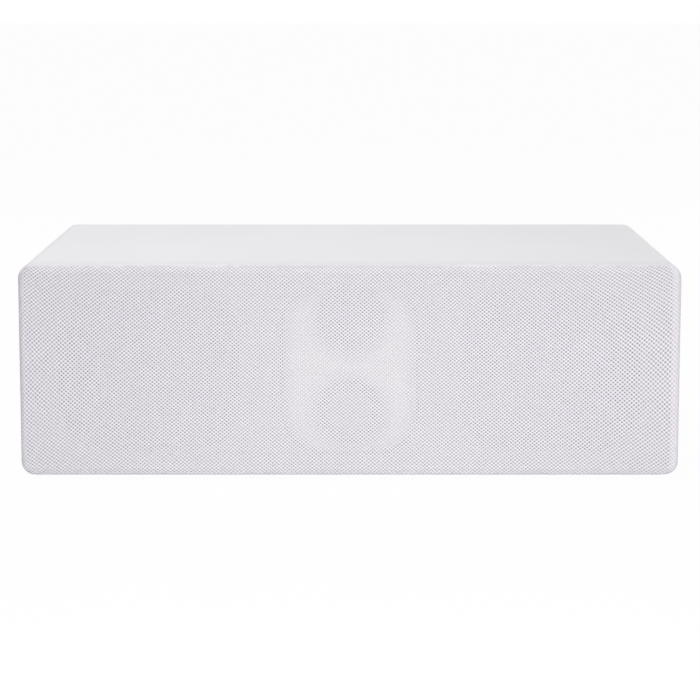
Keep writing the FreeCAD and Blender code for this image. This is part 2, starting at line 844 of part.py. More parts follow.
def driver_cap(label, d, place):
    """The dust cap, a shallow dome that seats on the cone."""
    neck, rim, low, high = cone_line(d)
    edge = d.cap_diameter / 2
    seat = low + (edge - neck) * (high - low) / (rim - neck) + S.neck_clearance
    inner_edge, inner_rise = edge - d.cap_wall, d.cap_height - d.cap_wall
    profile = [
        (0, seat + inner_rise),
        (inner_edge, seat, arc_radius(inner_edge, inner_rise), -1),
        (edge, seat),
        (0, seat + d.cap_height, arc_radius(edge, d.cap_height), 1),
    ]
    return turned(f"{label}_dust_cap", profile, **place)


def driver_coil(label, d, place):
    """The voice coil: a thin former with its winding in the magnet's gap."""
    inner, outer, wound = d.coil_radius - d.former_wall, d.coil_radius, d.coil_radius + d.winding
    top, foot = -d.cone_depth, -d.cone_depth - d.former_length
    gap_middle = -d.seat_depth - d.top_plate_thickness / 2
    wound_high, wound_low = gap_middle + d.winding_height / 2, gap_middle - d.winding_height / 2
    profile = [
        (inner, foot),
        (outer, foot),
        (outer, wound_low),
        (wound, wound_low),
        (wound, wound_high),
        (outer, wound_high),
        (outer, top),
        (inner, top),
    ]
    return turned(f"{label}_voice_coil", profile, **place)


def driver_spider(label, d, place):
    """The corrugated disc that centres the coil, glued to the basket's shelf."""
    base = d.basket_wall - d.shelf_depth
    inner = d.coil_radius + S.spider_clearance
    outer = d.waist_diameter / 2 - d.basket_wall - S.spider_clearance
    flat = d.seat_diameter / 2 - d.basket_wall - S.spider_clearance
    steps = SPIDER_WAVES * 2
    waves = [
        (inner + (flat - inner) * i / steps, base + d.spider_wave * (i % 2)) for i in range(steps + 1)
    ]
    lower = waves + [(outer, base)]
    upper = [(radius, height + d.spider_thickness) for radius, height in reversed(lower)]
    return turned(f"{label}_spider", lower + upper, **place)


def driver_motor(label, d, place):
    """Top plate, ring magnet and yoke with a vented pole."""
    top_plate = turned(
        f"{label}_top_plate",
        [
            (d.gap_radius, -d.magnet_depth),
            (d.top_plate_diameter / 2, -d.magnet_depth),
            (d.top_plate_diameter / 2, -d.seat_depth),
            (d.gap_radius, -d.seat_depth),
        ],
        **place,
    )
    magnet = turned(
        f"{label}_magnet",
        [
            (d.magnet_bore / 2, -d.yoke_depth),
            (d.magnet_diameter / 2, -d.yoke_depth),
            (d.magnet_diameter / 2, -d.magnet_depth),
            (d.magnet_bore / 2, -d.magnet_depth),
        ],
        **place,
    )
    back = -d.yoke_depth - d.yoke_thickness
    yoke = turned(
        f"{label}_yoke",
        [
            (d.vent_diameter / 2, back),
            (d.top_plate_diameter / 2, back),
            (d.top_plate_diameter / 2, -d.yoke_depth),
            (d.pole_radius, -d.yoke_depth),
            (d.pole_radius, -d.seat_depth),
            (d.vent_diameter / 2, -d.seat_depth),
        ],
        **place,
    )
    return [top_plate, magnet, yoke]


# Tweeter
def tweeter():
    """A soft dome on a ring frame, with its magnet and cupped yoke."""
    place = dict(x=0, y=RIM_Y, z=MIDDLE_Z + TWEETER_RISE)
    thin, dome = S.tweeter_membrane, S.tweeter_dome_diameter / 2
    roll_radius = dome + S.tweeter_roll * 2
    bore_radius = roll_radius + S.surround_clearance
    land_radius = bore_radius + S.tweeter_land
    frame = turned(
        "tweeter_frame",
        [
            (bore_radius, -thin),
            (land_radius, -thin),
            (land_radius, 0),
            (TWEETER_RADIUS, 0),
            (TWEETER_RADIUS, -S.tweeter_flange),
            (bore_radius, -S.tweeter_flange),
        ],
        **place,
    )
    inner_dome, inner_rise = dome - thin, S.tweeter_dome_height - thin
    membrane = turned(
        "tweeter_dome",
        [
            (0, inner_rise),
            (inner_dome, 0, arc_radius(inner_dome, inner_rise), -1),
            (inner_dome, -thin),
            (dome + thin, -thin),
            (dome + thin, 0),
            (dome + S.tweeter_roll, S.tweeter_roll - thin, S.tweeter_roll - thin, -1),
            (roll_radius - thin, 0, S.tweeter_roll - thin, -1),
            (roll_radius - thin, -thin),
            (land_radius - S.neck_clearance, -thin),
            (land_radius - S.neck_clearance, 0),
            (roll_radius, 0),
            (dome + S.tweeter_roll, S.tweeter_roll, S.tweeter_roll, 1),
            (dome, 0, S.tweeter_roll, 1),
            (0, S.tweeter_dome_height, arc_radius(dome, S.tweeter_dome_height), 1),
        ],
        **place,
    )
    magnet_back = -S.tweeter_flange - S.tweeter_magnet_thickness
    magnet = turned(
        "tweeter_magnet",
        [
            (S.tweeter_magnet_bore / 2, magnet_back),
            (TWEETER_MOTOR_RADIUS, magnet_back),
            (TWEETER_MOTOR_RADIUS, -S.tweeter_flange),
            (S.tweeter_magnet_bore / 2, -S.tweeter_flange),
        ],
        **place,
    )
    yoke_back = magnet_back - S.tweeter_yoke_thickness
    yoke = turned(
        "tweeter_yoke",
        [
            (0, yoke_back),
            (TWEETER_MOTOR_RADIUS, yoke_back),
            (TWEETER_MOTOR_RADIUS, magnet_back),
            (S.tweeter_pole_diameter / 2, magnet_back),
            (S.tweeter_pole_diameter / 2, -S.tweeter_flange),
            (0, -S.tweeter_flange),
        ],
        **place,
    )
    return [frame, membrane, magnet, yoke]


def driver_plate():
    """The moulded plate over the small drivers. Its mouths flare, and the upper one is open at the top."""
    body = new_body("driver_plate", 0, RIM_Y, MIDDLE_Z)
    sketch = new_sketch(body)
    rounded(sketch, S.plate_width, PLATE_HEIGHT, S.plate_corner_radius)
    plate = pad(body, sketch, PLATE_THICKNESS)
    fillet(body, plate, on_level(PLATE_THICKNESS), S.plate_edge_radius)
    throat = S.mouth_diameter / 2
    profile = [
        (0, 0),
        (throat, 0),
        (throat, PLATE_THICKNESS - S.mouth_flare_depth),
        (throat + S.mouth_flare, PLATE_THICKNESS, arc_radius(S.mouth_flare_depth, S.mouth_flare), -1),
        (0, PLATE_THICKNESS),
    ]
    for rise in (TWEETER_RISE, MIDRANGE_RISE):
        bore(body, rise, profile)
    pilots = new_sketch(body)
    circles(pilots, PILOT_RADIUS, PLATE_SCREWS)
    pocket(body, pilots, S.plate_screw_bite + S.screw_clearance, reverse=True)
    return [body]


# Screws
def screws(label, places, seat_y, bite, toward=FRONT):
    """Pan-head screws with a cross recess, whose heads rest on a face at seat_y."""
    head, shank, rise = S.screw_head_diameter / 2, SCREW_RADIUS, S.screw_head_height
    profile = [
        (0, -bite),
        (shank, -bite),
        (shank, 0),
        (head, 0),
        (head, rise / 2),
        (head - rise / 2, rise),
        (0, rise),
    ]
    long, short = S.recess_length / 2, S.recess_width / 2
    cross = [
        (long, -short),
        (long, short),
        (short, short),
        (short, long),
        (-short, long),
        (-short, short),
        (-long, short),
        (-long, -short),
        (-short, -short),
        (-short, -long),
        (short, -long),
        (short, -short),
    ]
    pieces = []
    for i, (x, z) in enumerate(places, start=1):
        screw = turned(f"{label}_{i}", profile, x, seat_y, MIDDLE_Z + z, toward)
        recess = new_sketch(screw, rise)
        outline(recess, cross)
        pocket(screw, recess, S.recess_depth)
        pieces.append(screw)
    return [group(label, pieces)]


# Cover
def cover_frame():
    """The moulded frame: skirt, web with a rib round each window, and pegs."""
    body = new_body("grille_frame", 0, RIM_Y, MIDDLE_Z)
    skin = S.cloth_thickness + S.cloth_fit
    width, height = S.cabinet_width - skin * 2, CABINET_HEIGHT - skin * 2
    corner = S.cabinet_edge_radius - skin
    front = S.cover_gap + S.cover_depth - skin
    web_front = front - S.web_setback
    web_back = web_front - S.web_thickness
    sketch = new_sketch(body, S.cover_gap)
    rounded(sketch, width, height, corner)
    block = pad(body, sketch, S.cover_depth - skin)
    fillet(body, block, on_level(front), S.cover_edge_radius - skin)
    hollow = new_sketch(body, S.cover_gap)
    inset = S.frame_wall
    rounded(hollow, width - inset * 2, height - inset * 2, corner - inset)
    pocket(body, hollow, web_back - S.cover_gap, reverse=True)
    relief = new_sketch(body, front)
    rim = S.frame_rim
    rounded(relief, width - rim * 2, height - rim * 2, corner - inset)
    pocket(body, relief, S.web_setback)
    plate_gap = S.plate_window_gap
    windows = [
        (S.woofer_window_width, S.woofer_window_height, S.woofer_window_radius, S.woofer_offset * side)
        for _, side in SIDES
    ]
    plate_wide, plate_high = S.plate_width + plate_gap * 2, PLATE_HEIGHT + plate_gap * 2
    windows.append((plate_wide, plate_high, S.plate_corner_radius + plate_gap, as_size(0)))
    ribs = new_sketch(body, web_front)
    rib = S.rib_width
    for wide, high, radius, x in windows:
        rounded(ribs, wide, high, radius, x)
        rounded(ribs, wide + rib * 2, high + rib * 2, radius + rib, x)
    pad(body, ribs, S.web_setback)
    openings = new_sketch(body, front)
    for wide, high, radius, x in windows:
        rounded(openings, wide, high, radius, x)
    pocket(body, openings)
    pegs = new_sketch(body, web_back)
    circles(pegs, S.peg_diameter / 2, PEGS)
    pad(body, pegs, web_back + S.peg_reach, reverse=True)
    return [body]


def cover_cloth():
    """The acoustic cloth as a thin skin: its flat front, and the rim that wraps the frame's edge."""
    rim = new_body("grille_cloth_rim", 0, RIM_Y, MIDDLE_Z)
    sketch = new_sketch(rim, S.cover_gap)
    rounded(sketch, S.cabinet_width, CABINET_HEIGHT, S.cabinet_edge_radius)
    block = pad(rim, sketch, S.cover_depth)
    front = S.cover_gap + S.cover_depth
    soft = fillet(rim, block, on_level(front), S.cover_edge_radius)
    back_level = S.cover_gap.number
    backs = [
        f"Face{i}"
        for i, face in enumerate(soft.Shape.Faces, start=1)
        if all(abs(vertex.Z - back_level) < 1e-6 for vertex in face.Vertexes)
    ]
    skin = rim.newObject("PartDesign::Thickness", "grille_cloth_skin")
    skin.Base = (soft, backs)
    skin.Reversed = True
    skin.setExpression("Value", S.cloth_thickness.text)
    doc.recompute()
    inset = S.cover_edge_radius
    flat = (S.cabinet_width - inset * 2, CABINET_HEIGHT - inset * 2, S.cabinet_edge_radius - inset)
    mouth = new_sketch(rim, front)
    rounded(mouth, *flat)
    pocket(rim, mouth)
    panel = new_body("grille_cloth_front", 0, RIM_Y, MIDDLE_Z)
    sheet_sketch = new_sketch(panel, front - S.cloth_thickness)
    rounded(sheet_sketch, *flat)
    pad(panel, sheet_sketch, S.cloth_thickness)
    return [group("grille_cloth", [panel, rim])]


def peg_cups():
    """Rubber cups in the baffle that grip the pegs."""
    profile = [
        (0, -CUP_DEPTH),
        (CUP_RADIUS, -CUP_DEPTH),
        (CUP_RADIUS, -S.cup_lip_thickness),
        (CUP_RADIUS + S.cup_lip, -S.cup_lip_thickness),
        (CUP_RADIUS + S.cup_lip, 0),
        (CUP_BORE, 0),
        (CUP_BORE, S.cup_floor - CUP_DEPTH),
        (0, S.cup_floor - CUP_DEPTH),
    ]
    cups = [
        turned(f"peg_cup_{i}", profile, x, RIM_Y, MIDDLE_Z + z) for i, (x, z) in enumerate(PEGS, start=1)
    ]
    return [group("peg_cups", cups)]


# Rear
BOARD_PARTS_WIDTH = S.capacitor_diameter + S.transformer_width + S.heatsink_width + S.board_part_gap * 2
BOARD_WIDTH = BOARD_PARTS_WIDTH + S.board_margin * 2
BOARD_FOOT = S.board_rise - S.board_height / 2
BOARD_TOP = S.board_rise + S.board_height / 2
SERVICE_WINDOW_WIDTH = BOARD_WIDTH + S.board_window_gap * 2
SERVICE_WINDOW_HEIGHT = (BOARD_TOP + S.board_window_gap) * 2
SERVICE_WIDTH = SERVICE_WINDOW_WIDTH + S.service_land * 2
SERVICE_HEIGHT = SERVICE_WINDOW_HEIGHT + S.service_land * 2
SERVICE_SCREW_X = SERVICE_WIDTH / 2 - S.service_land / 2
SERVICE_SCREW_Z = SERVICE_HEIGHT / 2 - S.service_land / 2
CONTROLS_Z = S.control_margin - SERVICE_WINDOW_HEIGHT / 2
SERVICE_SCREWS = [(SERVICE_SCREW_X * i, SERVICE_SCREW_Z * j) for i in (-1, 1) for j in (-1, 0, 1)]
BOARD_STUDS = [
    ((BOARD_WIDTH / 2 - S.stud_inset) * i, S.board_rise + (S.board_height / 2 - S.stud_inset) * j)
    for i in (-1, 1)
    for j in (-1, 1)
]
INLET = (-S.inlet_x, CONTROLS_Z)
SWITCH = (S.switch_x, CONTROLS_Z)
BUTTON = (-S.button_x, S.button_rise)
LENS = (S.lens_x, S.button_rise)
INLET_BODY_WIDTH = S.socket_width + S.inlet_wall * 2
INLET_BODY_HEIGHT = S.socket_height + S.inlet_wall * 2
SWITCH_POCKET_WIDTH = S.rocker_width + S.rocker_gap * 2
SWITCH_POCKET_HEIGHT = S.rocker_length + S.rocker_gap * 2
SWITCH_BODY_WIDTH = SWITCH_POCKET_WIDTH + S.switch_wall * 2
SWITCH_BODY_HEIGHT = SWITCH_POCKET_HEIGHT + S.switch_wall * 2
SERVICE_FACE_Y = REAR_FACE_Y + S.service_thickness


def port_tubes():
    """Flared reflex tubes through the rear panel."""
    inner, outer = S.port_bore / 2, S.port_bore / 2 + S.port_wall
    thick, flare = S.port_flange_thickness, S.port_flare
    profile = [
        (inner, S.port_length),
        (inner, flare - thick),
        (inner + flare, -thick, flare, 1),
        (outer + S.port_flange_width, -thick),
        (outer + S.port_flange_width, 0),
        (outer, 0),
        (outer, S.port_length),
    ]
    return [
        turned(f"port_tube_{name}", profile, S.woofer_offset * side, REAR_FACE_Y, MIDDLE_Z)
        for name, side in SIDES
    ]


def service_plate():
    """The metal plate for the inlet, switch, button and lens, with studs for the circuit board."""
    body = new_body("service_plate", 0, REAR_FACE_Y, MIDDLE_Z)
    sketch = new_sketch(body)
    rounded(sketch, SERVICE_WIDTH, SERVICE_HEIGHT, S.service_corner_radius)
    pad(body, sketch, S.service_thickness, reverse=True)
    fit = S.board_fit
    cuts = new_sketch(body)
    rectangle(cuts, INLET_BODY_WIDTH + fit * 2, INLET_BODY_HEIGHT + fit * 2, *INLET)
    rectangle(cuts, SWITCH_BODY_WIDTH + fit * 2, SWITCH_BODY_HEIGHT + fit * 2, *SWITCH)
    circles(cuts, S.button_diameter / 2 + S.button_gap, [BUTTON])
    circles(cuts, S.lens_diameter / 2 + S.pilot_clearance, [LENS])
    circles(cuts, SCREW_RADIUS + S.screw_clearance, SERVICE_SCREWS)
    pocket(body, cuts)
    studs = new_sketch(body)
    circles(studs, S.stud_diameter / 2, BOARD_STUDS)
    pad(body, studs, S.stud_height)
    return [body]


def main_board():
    """The circuit board on the studs, with its two smoothing capacitors soldered on."""
    body = new_body("main_board", 0, REAR_FACE_Y, MIDDLE_Z)
    sketch = new_sketch(body, S.stud_height)
    rectangle(sketch, BOARD_WIDTH, S.board_height, as_size(0), S.board_rise)
    pad(body, sketch, S.board_thickness)
    cans = new_sketch(body, S.stud_height + S.board_thickness)
    x = (S.capacitor_diameter - BOARD_PARTS_WIDTH) / 2
    low = BOARD_FOOT + S.board_margin + S.capacitor_diameter / 2
    high = low + S.capacitor_diameter + S.board_part_gap
    circles(cans, S.capacitor_diameter / 2, [(x, low), (x, high)])
    pad(body, cans, S.capacitor_height)
    return [body]


def board_parts():
    """What stands on the circuit board: transformer, heat sink and wireless module."""
    top = S.stud_height + S.board_thickness
    transformer = new_body("transformer", 0, REAR_FACE_Y, MIDDLE_Z)
    core = new_sketch(transformer, top)
    core_x = S.capacitor_diameter + S.board_part_gap + (S.transformer_width - BOARD_PARTS_WIDTH) / 2
    core_z = BOARD_FOOT + S.board_margin + S.transformer_height / 2
    rectangle(core, S.transformer_width, S.transformer_height, core_x, core_z)
    pad(transformer, core, S.transformer_depth)
    waist = new_sketch(transformer, top + S.transformer_depth)
    rectangle(waist, S.transformer_width - S.transformer_window * 2, S.transformer_window, core_x, core_z)
    pocket(transformer, waist, S.transformer_depth / 2)

    sink = new_body("heatsink", 0, REAR_FACE_Y, MIDDLE_Z)
    sink_x = (BOARD_PARTS_WIDTH - S.heatsink_width) / 2
    base = new_sketch(sink, top)
    rectangle(base, S.heatsink_width, S.heatsink_height, sink_x, S.board_rise)
    pad(sink, base, S.heatsink_base)
    fins = new_sketch(sink, top + S.heatsink_base)
    step = (S.heatsink_width - S.heatsink_fin) / (HEATSINK_FINS - 1)
    for i in range(HEATSINK_FINS):
        fin_x = sink_x - S.heatsink_width / 2 + S.heatsink_fin / 2 + step * i
        rectangle(fins, S.heatsink_fin, S.heatsink_height, fin_x, S.board_rise)
    pad(sink, fins, S.heatsink_depth - S.heatsink_base)

    module = new_body("wireless_module", 0, REAR_FACE_Y, MIDDLE_Z)
    module_z = BOARD_TOP - S.board_margin - S.module_height / 2
    carrier = new_sketch(module, top)
    rectangle(carrier, S.module_width, S.module_height, as_size(0), module_z)
    pad(module, carrier, S.module_board)
    can = new_sketch(module, top + S.module_board)
    rectangle(can, S.module_width / 2, S.module_height - S.module_can, as_size(0), module_z)
    pad(module, can, S.module_can)
    return [transformer, sink, module]


def mains_inlet():
    """A two-pole appliance inlet: flange, body, figure-of-eight socket and its two contacts."""
    x, z = INLET
    body = new_body("mains_inlet", x, SERVICE_FACE_Y, MIDDLE_Z + z)
    flange = new_sketch(body)
    rectangle(flange, S.inlet_flange_width, S.inlet_flange_height)
    pad(body, flange, S.inlet_flange_thickness, reverse=True)
    shroud = new_sketch(body)
    rectangle(shroud, INLET_BODY_WIDTH, INLET_BODY_HEIGHT)
    pad(body, shroud, S.inlet_body_depth)
    mouth = new_sketch(body, -S.inlet_flange_thickness)
    radius = S.socket_height / 2
    half = S.socket_width / 2 - radius
    outline(
        mouth,
        [
            (half, -radius),
            (half + radius, 0, radius, 1),
            (half, radius, radius, 1),
            (-half, radius),
            (-(half + radius), 0, radius, 1),
            (-half, -radius, radius, 1),
        ],
    )
    pocket(body, mouth, S.socket_depth, reverse=True)
    contacts = new_sketch(body, S.socket_depth - S.inlet_flange_thickness)
    circles(contacts, S.contact_diameter / 2, [(S.contact_spacing / 2 * side, 0) for _, side in SIDES])
    pad(body, contacts, S.contact_length, reverse=True)
    return [body]


def rocker_switch():
    """A snap-in rocker switch: its housing and the rocker on two trunnions."""
    x, z = SWITCH
    housing = new_body("switch_housing", x, SERVICE_FACE_Y, MIDDLE_Z + z)
    bezel = new_sketch(housing)
    rectangle(bezel, SWITCH_BODY_WIDTH + S.switch_bezel * 2, SWITCH_BODY_HEIGHT + S.switch_bezel * 2)
    pad(housing, bezel, S.switch_bezel_thickness, reverse=True)
    can = new_sketch(housing)
    rectangle(can, SWITCH_BODY_WIDTH, SWITCH_BODY_HEIGHT)
    pad(housing, can, S.switch_body_depth)
    well = new_sketch(housing, -S.switch_bezel_thickness)
    rectangle(well, SWITCH_POCKET_WIDTH, SWITCH_POCKET_HEIGHT)
    pocket(housing, well, S.switch_bezel_thickness + S.switch_body_depth - S.switch_wall, reverse=True)
    pivot_depth = S.rocker_pivot_depth - S.switch_bezel_thickness
    sockets = new_sketch(housing, plane="YZ_Plane")
    circles(sockets, S.pivot_diameter / 2 + S.pivot_clearance, [(0, pivot_depth)])
    reach = S.rocker_width / 2 + S.rocker_gap + S.pivot_length + S.pivot_clearance
    sideways = pocket(housing, sockets, reach)
    across = housing.newObject("PartDesign::Mirrored", "switch_housing_mirror")
    across.Originals = [sideways]
    across.MirrorPlane = (next(f for f in housing.Origin.OriginFeatures if f.Role == "YZ_Plane"), [""])
    housing.Tip = across
    doc.recompute()

    tilted = FRONT * Rotation(Vector(1, 0, 0), SIZES["rocker_tilt"])
    rocker = new_body("power_rocker", x, SERVICE_FACE_Y - pivot_depth, MIDDLE_Z + z, tilted)
    side = new_sketch(rocker, plane="YZ_Plane", offset=-S.rocker_width / 2)
    half, rise = S.rocker_length / 2, S.rocker_end_rise
    outline(
        side,
        [
            (half, -rise),
            (half, -S.rocker_dip),
            (S.rocker_belly, S.rocker_belly),
            (-S.rocker_belly, S.rocker_belly),
            (-half, -S.rocker_dip),
            (-half, -rise),
            (0, S.rocker_dip - rise),
        ],
    )
    pad(rocker, side, S.rocker_width)
    pins = new_sketch(rocker, plane="YZ_Plane", offset=-S.rocker_width / 2 - S.rocker_gap - S.pivot_length)
    circles(pins, S.pivot_diameter / 2, [(0, 0)])
    pad(rocker, pins, S.rocker_width + S.rocker_gap * 2 + S.pivot_length * 2)
    return [housing, rocker]


def button_and_lens():
    """The pairing button, held by a flange behind the plate, and the status lens beside it."""
    cap, out = S.button_diameter / 2, S.service_thickness + S.button_proud
    x, z = BUTTON
    button = turned(
        "pairing_button",
        [
            (0, -out),
            (cap, -out),
            (cap, S.button_gap),
            (cap + S.button_flange, S.button_gap),
            (cap + S.button_flange, S.button_gap + S.button_flange),
            (cap / 2, S.button_gap + S.button_flange),
            (cap / 2, S.button_stem),
            (0, S.button_stem),
        ],
        x,
        REAR_FACE_Y,
        MIDDLE_Z + z,
    )
    pin, front = S.lens_diameter / 2, S.service_thickness + S.lens_proud
    x, z = LENS
    lens = turned(
        "status_lens",
        [
            (0, -front),
            (pin, -front),
            (pin, 0),
            (pin + S.lens_flange, 0),
            (pin + S.lens_flange, S.lens_flange),
            (0, S.lens_flange),
        ],
        x,
        REAR_FACE_Y,
        MIDDLE_Z + z,
    )
    return [button, lens]


# Assembly
REARWARD = Rotation(Vector(1, 0, 0), -90)
made += cabinet_shell() + front_baffle() + rear_panel() + dividers() + wadding() + rubber_feet()
for side_name, side_sign in SIDES:
    made += cone_driver(f"woofer_{side_name}", WOOFER, S.woofer_offset * side_sign, MIDDLE_Z)
made += cone_driver("midrange", MIDRANGE, 0, MIDDLE_Z + MIDRANGE_RISE)
made += tweeter() + driver_plate()
made += screws("woofer_screws", WOOFER_SCREWS, RIM_Y, WOOFER.flange + S.screw_bite)
plate_bite = S.baffle_thickness + S.plate_screw_bite
made += screws("driver_plate_screws", PLATE_SCREWS, BAFFLE_BACK_Y, plate_bite, REARWARD)
made += cover_frame() + cover_cloth() + peg_cups()
made += port_tubes() + service_plate() + main_board() + board_parts()
made += mains_inlet() + rocker_switch() + button_and_lens()
service_bite = S.service_thickness + S.screw_bite
service_points = [(x, -z) for x, z in SERVICE_SCREWS]
made += screws("service_plate_screws", service_points, SERVICE_FACE_Y, service_bite, REARWARD)

# Checks and export
doc.recompute()
for item in doc.Objects:
    if "Invalid" in item.State or "Error" in item.State:
        raise RuntimeError(f"{item.Label} failed: {item.State}")
os.makedirs("parts", exist_ok=True)
for piece in made:
    if piece.Shape.isNull() or not piece.Shape.isValid():
        raise RuntimeError(f"{piece.Label} has no valid shape")
    piece.Shape.exportStep(os.path.join("parts", f"{piece.Label}.step"))
print(len(made), "sub-parts")
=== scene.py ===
import json
import math

import bpy
import numpy as np
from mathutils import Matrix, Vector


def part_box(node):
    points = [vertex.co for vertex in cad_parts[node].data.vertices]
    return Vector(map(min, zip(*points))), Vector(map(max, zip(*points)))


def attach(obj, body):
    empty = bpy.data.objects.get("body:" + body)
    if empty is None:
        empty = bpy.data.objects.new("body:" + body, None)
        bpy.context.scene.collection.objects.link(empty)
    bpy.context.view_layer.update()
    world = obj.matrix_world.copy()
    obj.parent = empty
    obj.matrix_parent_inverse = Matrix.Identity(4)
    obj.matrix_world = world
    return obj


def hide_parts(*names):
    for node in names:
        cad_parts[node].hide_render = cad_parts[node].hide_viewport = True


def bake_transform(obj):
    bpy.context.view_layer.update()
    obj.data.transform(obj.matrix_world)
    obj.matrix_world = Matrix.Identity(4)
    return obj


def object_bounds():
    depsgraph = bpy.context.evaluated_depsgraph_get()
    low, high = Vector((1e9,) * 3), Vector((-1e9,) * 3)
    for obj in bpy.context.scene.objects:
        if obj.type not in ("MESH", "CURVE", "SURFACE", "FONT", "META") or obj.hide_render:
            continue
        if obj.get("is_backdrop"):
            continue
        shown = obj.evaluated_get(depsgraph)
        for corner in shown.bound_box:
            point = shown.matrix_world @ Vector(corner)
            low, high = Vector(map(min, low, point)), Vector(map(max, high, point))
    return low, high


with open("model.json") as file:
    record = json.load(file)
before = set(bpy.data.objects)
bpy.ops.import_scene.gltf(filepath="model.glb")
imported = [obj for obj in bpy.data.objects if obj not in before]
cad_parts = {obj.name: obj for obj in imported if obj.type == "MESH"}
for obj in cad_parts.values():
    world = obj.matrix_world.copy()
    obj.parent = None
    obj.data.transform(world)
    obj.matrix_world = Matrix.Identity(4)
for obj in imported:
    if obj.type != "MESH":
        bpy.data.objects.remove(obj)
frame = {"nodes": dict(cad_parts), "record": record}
cad_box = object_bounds()
nodes = frame["nodes"]
slot_of = {part["node"]: part["material_slot"] for part in frame["record"]["subparts"]}


# Finishes
def shader(name, colour, roughness, metallic=0.0, **sockets):
    """A material with one Principled shader, its constants set on the shader's own sockets."""
    material = bpy.data.materials.new(name)
    material.use_nodes = True
    bsdf = material.node_tree.nodes["Principled BSDF"]
    bsdf.inputs["Base Color"].default_value = (*colour, 1.0)
    bsdf.inputs["Roughness"].default_value = roughness
    bsdf.inputs["Metallic"].default_value = metallic
    for socket, value in sockets.items():
        bsdf.inputs[socket.replace("_", " ")].default_value = value
    return material


def texture(material, kind, scale, stretch=(1.0, 1.0, 1.0), **settings):
    """A texture in the object's own metres, so that its scale is repeats per metre."""
    tree = material.node_tree
    place = tree.nodes.new("ShaderNodeTexCoord")
    mapping = tree.nodes.new("ShaderNodeMapping")
    mapping.inputs["Scale"].default_value = stretch
    node = tree.nodes.new(f"ShaderNodeTex{kind}")
    node.inputs["Scale"].default_value = scale
    for socket, value in settings.items():
        node.inputs[socket].default_value = value
    tree.links.new(place.outputs["Object"], mapping.inputs["Vector"])
    tree.links.new(mapping.outputs["Vector"], node.inputs["Vector"])
    return node


def output_of(node):
    """A texture's grey value, whatever its socket is called."""
    for name in ("Fac", "Factor", "Distance", "Value"):
        if name in node.outputs:
            return node.outputs[name]
    return node.outputs[0]


def tint(material, node, low, high, start=0.3, end=0.7):
    """Colours the shader between two tones along a texture."""
    tree = material.node_tree
    ramp = tree.nodes.new("ShaderNodeValToRGB")
    ramp.color_ramp.elements[0].position = start
    ramp.color_ramp.elements[0].color = (*low, 1.0)
    ramp.color_ramp.elements[1].position = end
    ramp.color_ramp.elements[1].color = (*high, 1.0)
    tree.links.new(output_of(node), ramp.inputs["Fac"])
    tree.links.new(ramp.outputs["Color"], tree.nodes["Principled BSDF"].inputs["Base Color"])


def gloss(material, node, low, high):
    """Varies the shader's roughness along a texture."""
    tree = material.node_tree
    spread = tree.nodes.new("ShaderNodeMapRange")
    spread.inputs["From Min"].default_value = 0.3
    spread.inputs["From Max"].default_value = 0.7
    spread.inputs["To Min"].default_value = low
    spread.inputs["To Max"].default_value = high
    tree.links.new(output_of(node), spread.inputs["Value"])
    tree.links.new(spread.outputs["Result"], tree.nodes["Principled BSDF"].inputs["Roughness"])


def relief(material, node, height):
    """Raises the surface along a texture, by a height in metres."""
    tree = material.node_tree
    bump = tree.nodes.new("ShaderNodeBump")
    bump.inputs["Strength"].default_value = 1.0
    bump.inputs["Distance"].default_value = height
    tree.links.new(output_of(node), bump.inputs["Height"])
    tree.links.new(bump.outputs["Normal"], tree.nodes["Principled BSDF"].inputs["Normal"])


def shade(colour, factor):
    return tuple(min(1.0, c * factor) for c in colour)


def painted(name, colour, roughness, peel, spread=0.012, **sockets):
    """Paint or lacquer: broad soft mottling and an orange-peel skin."""
    material = shader(name, colour, roughness, **sockets)
    clouds = texture(material, "Noise", 6.0, Detail=3.0)
    tint(material, clouds, shade(colour, 1.0 - spread), shade(colour, 1.0 + spread))
    patches = texture(material, "Noise", 22.0, Detail=2.0)
    gloss(material, patches, roughness - 0.03, roughness + 0.04)
    skin = texture(material, "Noise", 420.0, Detail=1.5)
    relief(material, skin, peel)
    return material


def moulded(name, colour, roughness, grain, **sockets):
    """Moulded plastic or rubber with a spark-eroded grain."""
    material = shader(name, colour, roughness, **sockets)
    clouds = texture(material, "Noise", 40.0, Detail=4.0)
    tint(material, clouds, shade(colour, 0.9), shade(colour, 1.1))
    pits = texture(material, "Voronoi", 1500.0)
    relief(material, pits, grain)
    patches = texture(material, "Noise", 90.0, Detail=2.0)
    gloss(material, patches, roughness - 0.06, roughness + 0.06)
    return material


def drawn_metal(name, colour, roughness, stretch, metallic=1.0):
    """Metal with fine lines along one direction."""
    material = shader(name, colour, roughness, metallic)
    lines = texture(material, "Noise", 900.0, stretch, Detail=2.0)
    tint(material, lines, shade(colour, 0.88), shade(colour, 1.08))
    gloss(material, lines, roughness - 0.07, roughness + 0.1)
    relief(material, lines, 0.00003)
    return material


def fibrous(name, colour, roughness, scale, height, spread=0.12, **sockets):
    """Paper, cloth or bare fibreboard: short fibres in two tones."""
    material = shader(name, colour, roughness, **sockets)
    fibres = texture(material, "Noise", scale, (1.0, 1.0, 3.0), Detail=6.0)
    tint(material, fibres, shade(colour, 1.0 - spread), shade(colour, 1.0 + spread))
    relief(material, fibres, height)
    return material


